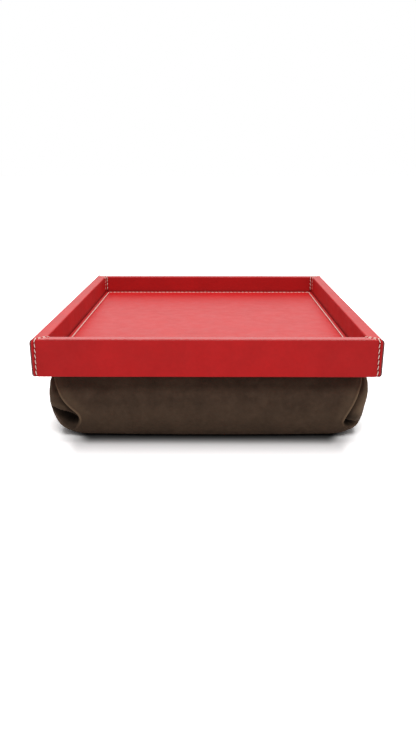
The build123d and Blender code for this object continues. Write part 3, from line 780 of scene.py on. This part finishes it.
def stitchTree():
    tree = bpy.data.node_groups.new("stitchRow", "GeometryNodeTree")
    for name, kind, default in (
            ("Path", "Geometry", None), ("Pitch", "Float", 0.0053), ("Length", "Float", 0.0048),
            ("Width", "Float", 0.0008), ("Arch", "Float", 0.0003), ("Sunk", "Float", 0.0003),
            ("Uneven", "Float", 1.0), ("Seed", "Int", 3), ("Finish", "Material", None)):
        socket = tree.interface.new_socket(name, in_out="INPUT", socket_type="NodeSocket" + kind)
        if default is not None:
            socket.default_value = default
    tree.interface.new_socket("Stitches", in_out="OUTPUT", socket_type="NodeSocketGeometry")
    given = tree.nodes.new("NodeGroupInput").outputs
    sized = {part: addNode(tree, "ShaderNodeMath", {0: given[name], 1: factor, 2: base},
                           operation="MULTIPLY_ADD")
             for part, name, factor, base in (
                 ("start", "Length", -0.5, 0), ("end", "Length", 0.5, 0), ("low", "Sunk", -1, 0),
                 ("high", "Arch", 2, 0), ("radius", "Width", 0.5, 0),
                 ("leanLeft", "Uneven", -0.05, 0), ("leanRight", "Uneven", 0.05, 0),
                 ("small", "Uneven", -0.06, 1), ("large", "Uneven", 0.05, 1))}
    start, end = (addNode(tree, "ShaderNodeCombineXYZ", {"X": sized[part], "Z": sized["low"]})
                  for part in ("start", "end"))
    middle = addNode(tree, "ShaderNodeCombineXYZ", {"Z": sized["high"]})
    line = addNode(tree, "GeometryNodeCurveQuadraticBezier", {
        "Resolution": 7, "Start": start, "Middle": middle, "End": end})
    ring = addNode(tree, "GeometryNodeCurvePrimitiveCircle", {"Resolution": 7, "Radius": sized["radius"]})
    tube = addNode(tree, "GeometryNodeCurveToMesh", {"Fill Caps": True, "Curve": line, "Profile Curve": ring})
    body = addNode(tree, "GeometryNodeSetShadeSmooth", {"Geometry": tube})
    path = addNode(tree, "GeometryNodeMeshToCurve", {"Mesh": given["Path"]})
    places = addNode(tree, "GeometryNodeResampleCurve", {"Curve": path, "Length": given["Pitch"]},
                     mode="LENGTH")
    facing, lean = (addNode(tree, "GeometryNodeInputNamedAttribute", {"Name": name},
                            data_type=kind).outputs["Attribute"]
                    for name, kind in (("facing", "FLOAT_VECTOR"), ("lean", "FLOAT")))
    tangent = addNode(tree, "GeometryNodeInputTangent")
    laid = addNode(tree, "FunctionNodeAxesToRotation", {0: facing, 1: tangent},
                   primary_axis="Z", secondary_axis="X")
    jitter, size = (addNode(tree, "FunctionNodeRandomValue", {
        2: sized[low], 3: sized[high], "Seed": given["Seed"]}, data_type="FLOAT").outputs[1]
        for low, high in (("leanLeft", "leanRight"), ("small", "large")))
    turned = addNode(tree, "ShaderNodeMath", {0: lean, 1: jitter}, operation="ADD")
    turn = addNode(tree, "ShaderNodeCombineXYZ", {"Z": turned})
    rotated = addNode(tree, "FunctionNodeRotateRotation", {0: laid, 1: turn}, rotation_space="LOCAL")
    row = addNode(tree, "GeometryNodeInstanceOnPoints", {
        "Points": places, "Instance": body, "Rotation": rotated, "Scale": size})
    real = addNode(tree, "GeometryNodeRealizeInstances", {0: row})
    painted = addNode(tree, "GeometryNodeSetMaterial", {"Geometry": real, "Material": given["Finish"]})
    addNode(tree, "NodeGroupOutput", {0: painted})
    return tree


def runTree(name, tree, mesh, values):  # the plain mesh that a node tree makes
    carrier = bpy.data.objects.new(name, mesh)
    scene.collection.objects.link(carrier)
    modifier = carrier.modifiers.new("row", "NODES")
    modifier.node_group = tree
    for item in tree.interface.items_tree:
        if item.in_out == "INPUT" and item.name in values:
            modifier[item.identifier] = values[item.name]
    bpy.context.view_layer.update()
    made = bpy.data.meshes.new_from_object(carrier.evaluated_get(bpy.context.evaluated_depsgraph_get()))
    carrier.modifiers.clear()
    carrier.data = made
    made.name = name
    return carrier


# Rows of (line, facing, lean), with one bent bar of a finish at each pitch
def barRows(name, rows, bar, finish, node, body):
    points, edges, facing, lean = [], [], [], []
    for line, normals, slant in rows:
        count = round(lengthOf(line) / bar["pitch"])
        step = lengthOf(line) / count
        placed, turned = resample(line, normals, step / 2, step / 6, 6 * (count - 1) + 1)
        first = len(points)
        points += (placed * mm).tolist()
        facing += turned.tolist()
        lean += [math.radians(slant)] * len(placed)
        edges += [(first + number, first + number + 1) for number in range(len(placed) - 1)]
    mesh = bpy.data.meshes.new(name)
    mesh.from_pydata(points, edges, [])
    mesh.attributes.new("facing", "FLOAT_VECTOR", "POINT").data.foreach_set(
        "vector", np.array(facing, np.float32).ravel())
    mesh.attributes.new("lean", "FLOAT", "POINT").data.foreach_set("value", np.array(lean, np.float32))
    values = {size.capitalize(): bar[size] * mm for size in ("length", "width", "arch", "sunk")}
    # A little under the pitch, so that no row loses its last bar
    values.update({"Pitch": bar["pitch"] * 0.985 * mm, "Uneven": bar["uneven"], "Seed": 5,
                   "Finish": finishes[finish]})
    piece = runTree(name, bentBars, mesh, values)
    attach(piece, body)
    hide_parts(node)


bentBars = stitchTree()
for name, (*walls, _) in corners.items():
    rows = []
    for sideName, end in walls:
        line, facing = stitchPath(sides[sideName], end)
        sunkLine = line - facing * wall["trenchDepth"]
        rows.append((sunkLine, facing, thread["cornerLean"] * end))
    bar = {**thread, "pitch": wall["pitch"], "length": thread["cornerLength"]}
    barRows(titleOf(name) + "Stitches", rows, bar, "waxedLinenThread", name + "_corner_stitching",
            "tray")
seatHeight = panelTop - panel["trenchDepth"]
up = np.array([[0, 0, 1.0]] * 2)
turns = [(signX * stitchHalf[0], signY * stitchHalf[1], seatHeight)
         for signX, signY in ((-1, -1), (1, -1), (1, 1), (-1, 1))]
floorRows = [(np.array(ends), up, thread["floorLean"]) for ends in zip(turns, turns[1:] + turns[:1])]
bar = {**thread, "pitch": panel["pitch"], "length": thread["floorLength"]}
barRows("floorStitches", floorRows, bar, "waxedLinenThread", "floor_stitching", "tray")
print("stitches are made")

# Zip coil: two rows of bent nylon teeth that mesh in the middle, on a flat woven core
coil = {"pitch": 1.5, "length": 3.0, "width": 1.15, "arch": 0.62, "sunk": 0.5, "lean": 12.0,
        "uneven": 0.0, "fromMiddle": 0.95, "endGap": 0.4, "coreHalf": 2.2, "coreHeight": 0.75,
        "coreRound": 0.3, "grooveHalf": 0.25, "grooveDepth": 0.2, "coreRows": 40}
coilLow, coilHigh = ([value * 1000 for value in place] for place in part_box("zip_coil"))
zipHeight = (coilLow[2] + coilHigh[2]) / 2


def zipTeeth():
    rows = []
    depth = coilHigh[1] - coil["arch"] - coil["width"] / 2
    for sign in (1, -1):
        shift = coil["pitch"] / 4 * sign
        height = zipHeight + sign * coil["fromMiddle"]
        line = np.array([(coilLow[0] + coil["endGap"] + shift, depth, height),
                         (coilHigh[0] - coil["endGap"] + shift, depth, height)])
        rows.append((line, np.array([[0, 1.0, 0]] * 2), 90 - sign * coil["lean"]))
    barRows("zipTeeth", rows, coil, "nylonCoil", "zip_coil", "cushion")


def zipCore():
    half, low, bend = coil["coreHalf"], coilLow[1], coil["coreRound"]
    high = low + coil["coreHeight"]
    section = [(half, low), (half, high - bend), (half - 0.3 * bend, high - 0.3 * bend),
               (half - bend, high), (coil["grooveHalf"], high)]
    mirrored = [(-across, y) for across, y in section[::-1]]
    section += [(0, high - coil["grooveDepth"])] + mirrored
    places = np.linspace(coilLow[0], coilHigh[0], coil["coreRows"])
    points = [(x, y, zipHeight + across) for x in places for across, y in section[::-1]]
    piece = makePiece("zipCore", points, tubeFaces(len(places), len(section)), "wovenZipTape", 40)
    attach(piece, "cushion")


zipTeeth()
zipCore()
print("zip coil is made")

# Cushion cover: one suede skin over the beads, folded in at the corners where the gussets are sewn
cover = {
    "half": (170.0, 219.0), "bow": 2.5, "corner": 27.0,
    # The left shoulder stands out and the front one draws in, between these heights
    "leftShoulder": 1.0, "leftShoulderAt": (52, 58, 63, 70),
    "frontShoulder": 4.0, "frontShoulderAt": (46, 66, 71, 73.7),
    # (height, how much fuller the right side is there)
    "fullerRight": [(0, 2.8), (11, 2.4), (22, 1.7), (33, 1.3), (45, 3.1), (56, 4.2), (61, 3.9), (71, 0.4),
                    (74, 0)],
    # (height, how far the side draws in there)
    "levels": [(0, 22), (0.9, 18.3), (2.6, 14.3), (5.6, 10.6), (11.1, 7), (19.9, 3.4), (30.2, 1),
               (42.04, 0), (53.8, 1.14), (63.3, 4), (69, 6.8), (71.5, 9.5), (72.6, 11.6), (73.2, 14.6),
               (73.7, 19)],
    "rowStep": 0.95, "capRings": (0.03, 0.07, 0.14, 0.23, 0.35, 0.5, 0.66, 0.82, 0.93, 0.985),
    # Columns from the middle of an end and of a flank, as (end, spacing)
    "endStops": [(0, 0), (60, 7), (104, 5), (120, 2), (143, 0.85)],
    "flankStops": [(0, 0), (120, 9), (160, 5), (176, 2), (192, 1.1)], "cornerColumns": 54,
    "wave": 0.5, "waveSize": 42.0, "smallWave": 0.12, "smallWaveSize": 11.0, "smallWaveShift": (3, 9, 4),
    "waveAt": (0.5, 16, 62, 70), "paintedLowLight": 0.1, "paintedLowLightAt": (3, 12, 22, 46),
    "seamHeight": 72.8, "seamDepth": 0.7, "seamWidth": 0.35, "seamShade": 0.6, "backFrom": 205,
    "zipHeight": 42.04, "zipHalf": 134.0, "slotHalf": 4.0, "slotDepth": 2.5, "slotSoft": 1.3,
    "slotShade": 0.8,
    # Where the cloth is held: by height at the foot and crown, round the plan at the folds, beside the zip
    "footHeld": (1, 16), "crownHeld": (54, 66), "foldHeld": (95, 128, 182, 225), "zipHeld": (2, 22),
}
# Each fold: the crease where the front panel lies over the gusset, as (height, distance from the
# middle), how deep the gusset sinks beside it, and the pocket at its foot, as (distance, height)
folds = {
    "front_left": {
        "crease": [(0, 147), (4, 142.5), (9, 138.5), (13.8, 135.6), (17.3, 134), (21.8, 132.7), (26.2, 133.5),
                   (29.2, 135.6), (34.1, 141), (39.1, 146), (45.8, 151.5), (51.8, 155.2), (55.9, 158.4),
                   (59.6, 161.5), (62.3, 164.5), (66, 169), (74, 178)],
        "depth": [(0, 0), (10, 0.4), (20, 1.6), (30, 3), (36, 4.6), (50, 5.2), (60, 4), (74, 2)],
        "width": 9.0, "lip": 1.0,
        "pocketTop": [(132, 21.5), (136, 24.8), (140, 27.8), (146.5, 30.3), (153.4, 32), (158, 33),
                      (163, 33.5), (178, 33.5)],
        "pocketFoot": [(132, 19.5), (136, 15.3), (141, 14.5), (148, 16), (153, 20), (159, 24.5), (163, 29),
                       (178, 33)],
        "pocketDepth": 17.0, "pocketEnd": (158, 174),
        "ridge": 1.1, "ridgeEnds": (141, 170), "roll": 0.8, "rollPlace": 17.0, "rollWidth": 7.0,
        "rollHighlight": 0.15, "shadeAbove": 0.35, "shadeBelow": 0.45,
    },
    "front_right": {
        "crease": [(0, 154), (4, 150.4), (12.4, 146), (16, 143.6), (19.3, 142.7), (24.2, 144.3),
                   (32.2, 148.2), (39.6, 151.8), (47.8, 155.5), (55.2, 159), (60.5, 163), (66, 167),
                   (74, 173)],
        "depth": [(0, 0), (10, 0.6), (16, 2), (24, 3.4), (42, 3.8), (56, 3.2), (66, 2), (74, 1)],
        "width": 5.5, "lip": 0.9,
        "pocketTop": [(142, 19), (146, 21), (150, 20.8), (157, 18.8), (166, 16.8)],
        "pocketFoot": [(142, 15), (146, 13), (150, 12.3), (157, 12.3), (166, 14)],
        "pocketDepth": 10.0, "pocketEnd": (152, 166),
        "ridge": 0.4, "ridgeEnds": (146, 164), "roll": 1.1, "rollPlace": 12.0, "rollWidth": 6.5,
        "rollHighlight": 0.6, "shadeAbove": 0.75, "shadeBelow": 0.0,
    },
}
# What all folds share. A name that ends in At is (middle, width), one in From or Fade (start, end),
# from the crease or the pocket on or in height. Folds begin at cornerFrom from the middle, x and y
foldShape = {
    "cornerFrom": (90, 120), "footFade": (4, 13), "crownFade": (62, 72), "lipAt": (-0.9, 1.1), "swell": 0.5,
    "swellAt": (-6, 6.0), "sinkFrom": (-0.3, 1.3), "ridgeAt": (4.6, 2.6), "highlightFrom": (10, 26),
    "aboveAt": (4, 6), "belowAt": (-2, 5), "creaseAt": (1.2, 1.2), "creaseFoot": 24, "creaseShade": 0.65,
    "ridgeSoft": 8, "mouthFrom": (-0.4, 1.8), "mouthAt": (-0.05, 0.2, 0.85, 1.05), "mouthShade": 1.5,
    # Amounts of painted highlight on the lip, the swell and the ridge
    "besideFrom": (0, 2), "lipHighlight": 0.85, "swellHighlight": 0.4, "ridgeHighlight": 0.3,
}
folds["back_left"] = {**folds["front_right"], "lip": 0.7, "pocketDepth": 7.0}
folds["back_right"] = {**folds["front_left"], "lip": 0.8, "pocketDepth": 11.0}
swelling = {"slack": 2.5, "voxel": 5.0, "pressure": 60.0, "ease": 0.02, "frames": 20, "cap": 5.0,
            "quickLift": 1.5,
            "neighbours": 6, "nearest": 0.0015}  # for the shift of a fine point, from the coarse ones


def curveAt(stops, value, soft=8):  # a smooth reading of a list of (place, value)
    places, values = np.array(stops, float).T
    fine = np.linspace(places[0], places[-1], 240)
    raw = np.pad(np.interp(fine, places, values), soft, mode="edge")
    return np.interp(value, fine, np.convolve(raw, np.ones(2 * soft + 1) / (2 * soft + 1), mode="valid"))


def sideLevels():  # closely spaced (height, draw) on a smooth curve through the levels
    given = np.array(cover["levels"], float)
    lengths = np.concatenate([[0], np.cumsum(np.hypot(*np.diff(given, axis=0).T))])
    slopes = np.gradient(given, lengths, axis=0, edge_order=1)
    wanted = np.linspace(0, lengths[-1], round(lengths[-1] / cover["rowStep"]) + 1)
    part = np.clip(np.searchsorted(lengths, wanted, side="right") - 1, 0, len(given) - 2)
    span = (lengths[part + 1] - lengths[part])[:, None]
    t = (wanted - lengths[part])[:, None] / span
    return ((2 * t ** 3 - 3 * t ** 2 + 1) * given[part] + (t ** 3 - 2 * t ** 2 + t) * span * slopes[part]
            + (3 * t ** 2 - 2 * t ** 3) * given[part + 1] + (t ** 3 - t ** 2) * span * slopes[part + 1])


def planColumns():  # places round the plan as (part, share), fine at the corners
    def whole(stops):
        shares = [place / stops[-1][0] for place in spaced(stops)]
        return [-share for share in shares[::-1]] + shares[1:-1]

    ends, flanks = whole(cover["endStops"]), whole(cover["flankStops"])
    columns = []
    for straight, shares, arc in (("front", ends, "frontRight"), ("right", flanks, "backRight"),
                                  ("back", ends, "backLeft"), ("left", flanks, "frontLeft")):
        columns += [(straight, share) for share in shares]
        count = cover["cornerColumns"]
        columns += [(arc, number / count) for number in range(count)]
    return columns


def planPlace(part, share, height, draw):  # (x, y, facing x, facing y, distance round the plan)
    bow, corner = cover["bow"], cover["corner"]
    fuller = float(curveAt(cover["fullerRight"], height))
    shoulder = cover["leftShoulder"] * float(plateau(height, *cover["leftShoulderAt"]))
    right = cover["half"][0] - bow - draw + fuller
    left = cover["half"][0] - bow - draw + shoulder
    front = cover["half"][1] - bow - draw
    front -= cover["frontShoulder"] * float(plateau(height, *cover["frontShoulderAt"]))
    back = cover["half"][1] - draw
    if part == "front":
        x = share * ((right if share > 0 else left) - corner)
        return x, -front - bow * (1 - share * share), 0.0, -1.0, abs(x)
    if part == "back":
        x = -share * ((left if share > 0 else right) - corner)
        return x, back, 0.0, 1.0, abs(x)
    if part in ("right", "left"):
        sign = 1 if part == "right" else -1
        low, high = -front + corner, back - corner
        reach = (high - low) / 2
        x = sign * ((right if sign > 0 else left) + bow * (1 - share * share))
        distance = (right if sign > 0 else left) - corner + math.pi / 2 * corner + reach * (1 - abs(share))
        return x, (low + high) / 2 + sign * share * reach, float(sign), 0.0, distance
    turn = {"frontRight": -90, "backRight": 0, "backLeft": 90, "frontLeft": 180}[part] + 90 * share
    angle = math.radians(turn)
    reach = (right if "Right" in part else left) - corner
    centreY = -front + corner if "front" in part else back - corner
    fromEnd = math.atan2(abs(math.cos(angle)), abs(math.sin(angle)))
    return (math.copysign(reach, 1 if "Right" in part else -1) + corner * math.cos(angle),
            centreY + corner * math.sin(angle), math.cos(angle), math.sin(angle), reach + corner * fromEnd)


def coverForm():  # rows from the middle of the foot up to the middle of the crown
    side, columns = sideLevels(), planColumns()
    rows, facing, rounds = [], [], []
    slopes = np.gradient(side, axis=0)
    tilt = slopes[:, 1] / np.hypot(slopes[:, 0], slopes[:, 1])
    for (height, draw), lean in zip(side, tilt):
        row = np.array([planPlace(part, share, height, draw) for part, share in columns])
        flat = math.sqrt(max(0, 1 - lean ** 2))
        rows.append(np.column_stack([row[:, :2], np.full(len(row), height)]))
        facing.append(np.column_stack([row[:, 2:4] * flat, np.full(len(row), lean)]))
        rounds.append(row[:, 4])
    inward = [1 - share for share in cover["capRings"]]
    under = [rows[0] * (share, share, 1) for share in inward[::-1]]
    over = [rows[-1] * (share, share, 1) for share in inward]
    down, upward = np.array([[0, 0, -1.0]] * len(columns)), np.array([[0, 0, 1.0]] * len(columns))
    rows = under + rows + over
    facing = [down] * len(under) + facing + [upward] * len(over)
    rounds = [np.zeros(len(columns))] * len(under) + rounds + [np.zeros(len(columns))] * len(over)
    return np.array(rows), np.array(facing), np.array(rounds)


# How far each point stands off (+) or sinks (-) at one folded corner, and how much painted highlight and
# painted shade it gets
def foldCorner(points, rounds, fold, signX, signY):
    z = points[:, 2]
    fromX, fromY = foldShape["cornerFrom"]
    here = (points[:, 0] * signX > fromX) & (points[:, 1] * signY > fromY) & (rounds > 0)
    heights = np.arange(0, 80.0)
    slope = np.interp(z, heights, np.gradient(curveAt(fold["crease"], heights, 4)))
    away = (rounds - curveAt(fold["crease"], z, 4)) / np.sqrt(1 + slope ** 2)
    fade = smoothStep(z, *foldShape["footFade"]) * (1 - 0.5 * smoothStep(z, *foldShape["crownFade"]))
    lip = fold["lip"] * fade * bell(away, *foldShape["lipAt"])
    swell = foldShape["swell"] * fade * bell(away, *foldShape["swellAt"])
    start, deepest = foldShape["sinkFrom"]
    sink = curveAt(fold["depth"], z) * smoothStep(away, start, deepest)
    sink *= 1 - smoothStep(away, deepest, fold["width"])
    top, foot = curveAt(fold["pocketTop"], rounds, 4), curveAt(fold["pocketFoot"], rounds, 4)
    share = (z - foot) / np.maximum(top - foot, 1)
    low, high = fold["pocketEnd"]
    mouth = plateau(share, *foldShape["mouthAt"])
    mouth *= smoothStep(away, *foldShape["mouthFrom"]) * (1 - smoothStep(rounds, low, high))
    (start, end), soft = fold["ridgeEnds"], foldShape["ridgeSoft"]
    ridge = bell(z - top, *foldShape["ridgeAt"]) * (away > 0)
    ridge *= plateau(rounds, start, start + soft, end - soft, end + soft / 2)
    roll = fold["roll"] * fade * bell(away, fold["rollPlace"], fold["rollWidth"])
    lift = lip + swell + fold["ridge"] * ridge + roll - sink - fold["pocketDepth"] * mouth
    # Painted highlight on the crease's lip and swell, growing with height, and on the ridge and the gusset's
    # roll
    rubbedAndHighlit = smoothStep(z, *foldShape["highlightFrom"])
    paintedLight = foldShape["lipHighlight"] * rubbedAndHighlit * lip / fold["lip"] + foldShape["swellHighlight"] * rubbedAndHighlit * swell
    paintedLight = paintedLight + foldShape["ridgeHighlight"] * ridge * fold["ridge"]
    paintedLight = np.clip(paintedLight + fold["rollHighlight"] * roll / fold["roll"], 0, 1)
    # Painted shade in the crease, above and below the pocket and in its mouth
    beside = smoothStep(away, *foldShape["besideFrom"])
    above = bell(z - top, *foldShape["aboveAt"]) * beside * (1 - smoothStep(rounds, low + 3, high + 5))
    below = bell(z - foot, *foldShape["belowAt"]) * beside * (1 - smoothStep(rounds, low, high))
    crease = bell(away, *foldShape["creaseAt"]) * (z > foldShape["creaseFoot"])
    dark = foldShape["creaseShade"] * fade * crease + fold["shadeAbove"] * above
    dark = np.clip(dark + fold["shadeBelow"] * below + foldShape["mouthShade"] * mouth, 0, 1)
    return lift * here, paintedLight * here, dark * here


# A coarse copy is blown up by cloth pressure, held at its seams, foot, crown and zip
def swellCover(points, facing, faces, held):
    loose = (1 - held)[:, None]
    start = points - facing * swelling["slack"] * loose
    copy = makePiece("swellingCopy", start, faces, "brushedSuede")
    even = copy.modifiers.new("even", "REMESH")
    even.mode = "VOXEL"
    even.voxel_size = swelling["voxel"] * mm
    bpy.context.view_layer.update()
    copy.data = bpy.data.meshes.new_from_object(
        copy.evaluated_get(bpy.context.evaluated_depsgraph_get()))
    copy.modifiers.clear()
    before = np.array([v.co for v in copy.data.vertices])
    fine = KDTree(len(points))
    for number, place in enumerate(start * mm):
        fine.insert(place, number)
    fine.balance()
    group = copy.vertex_groups.new(name="held")
    for number, place in enumerate(before):
        group.add([number], float(held[fine.find(place)[1]]), "REPLACE")
    cloth = copy.modifiers.new("swell", "CLOTH")
    cloth.settings.use_pressure = True
    cloth.settings.uniform_pressure_force = swelling["pressure"]
    cloth.settings.vertex_group_mass = "held"
    cloth.settings.shrink_min = -swelling["ease"]
    cloth.settings.effector_weights.gravity = 0
    cloth.collision_settings.use_collision = False
    cloth.point_cache.frame_start, cloth.point_cache.frame_end = 1, swelling["frames"]
    for number in range(1, swelling["frames"] + 1):
        scene.frame_set(number)
    blown = bpy.data.meshes.new_from_object(copy.evaluated_get(bpy.context.evaluated_depsgraph_get()))
    moved = np.array([v.co for v in blown.vertices]) - before
    scene.frame_set(1)
    bpy.data.objects.remove(copy)
    reach = np.linalg.norm(moved, axis=1)
    print("the cloth moved by up to", round(float(reach.max()) * 1000, 1), "mm, on average",
          round(float(reach.mean()) * 1000, 2))
    moved *= np.minimum(1, swelling["cap"] * mm / np.maximum(reach, 1e-9))[:, None]
    coarse = KDTree(len(before))
    for number, place in enumerate(before):
        coarse.insert(place, number)
    coarse.balance()
    shift = np.zeros_like(points)
    for number, place in enumerate(start * mm):
        found = coarse.find_n(place, swelling["neighbours"])
        weights = np.array([1 / (gap + swelling["nearest"]) ** 2 for _, _, gap in found])
        shift[number] = weights @ moved[[index for _, index, _ in found]] / weights.sum()
    return start + shift / mm * loose


def sculptCover():
    grid, facing, rounds = coverForm()
    quads = tubeFaces(*grid.shape[:2])
    points, facing, rounds = grid.reshape(-1, 3), facing.reshape(-1, 3), rounds.ravel()
    lift, paintedLight, dark = (np.zeros(len(points)) for _ in range(3))
    z = points[:, 2]
    held = np.maximum(1 - smoothStep(z, *cover["footHeld"]), smoothStep(z, *cover["crownHeld"]))
    for name, (_, _, (signX, signY)) in corners.items():
        change, light, shade = foldCorner(points, rounds, folds[name], signX, signY)
        lift += change
        paintedLight, dark = np.maximum(paintedLight, light), np.maximum(dark, shade)
        atCorner = (points[:, 0] * signX > 0) & (points[:, 1] * signY > 0)
        held = np.maximum(held, plateau(rounds, *cover["foldHeld"]) * atCorner)
    atBack = (points[:, 1] > cover["backFrom"]) & (np.abs(facing[:, 1]) > 0.7)
    besideZip = np.maximum(np.abs(z - cover["zipHeight"]) - cover["slotHalf"],
                           np.abs(points[:, 0]) - cover["zipHalf"])
    slot = (1 - smoothStep(besideZip, -cover["slotSoft"], 0)) * atBack
    nearZip = (1 - smoothStep(besideZip, *cover["zipHeld"])) * atBack
    held = np.maximum(held, nearZip)
    points = swellCover(points, facing, quads, held)
    lift -= cover["slotDepth"] * slot
    quiet = (1 - nearZip) * plateau(z, *cover["waveAt"])
    wave = uneven(points, cover["waveSize"])
    small = uneven(points, cover["smallWaveSize"], cover["smallWaveShift"])
    lift += quiet * (cover["wave"] * wave * 2 + cover["smallWave"] * small * 2)
    # Painted light: the lower sides are made a little lighter
    paintedLight = np.maximum(paintedLight, cover["paintedLowLight"] * plateau(z, *cover["paintedLowLightAt"]))
    seam = bell(z, cover["seamHeight"], cover["seamWidth"])
    lift -= cover["seamDepth"] * seam
    # Painted shade in the zip's slot and along the sunk top seam
    dark = np.maximum(dark, np.maximum(cover["slotShade"] * slot, cover["seamShade"] * seam))
    moved = points + facing * lift[:, None]
    moved[:, 2] = np.maximum(moved[:, 2], 0)
    return moved, quads, paintedLight, dark


def makeCover():
    points, faces, paintedLight, dark = sculptCover()
    piece = makePiece("suedeCover", points, faces, "brushedSuede", None, {"paintedLight": paintedLight, "paintedShade": dark})
    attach(piece, "cushion")
    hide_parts("cover_wrap", "cover_top", "cover_upper_back", "left_gusset", "right_gusset",
                "liner_bag", "bead_fill")


makeCover()
print("cushion cover is made")
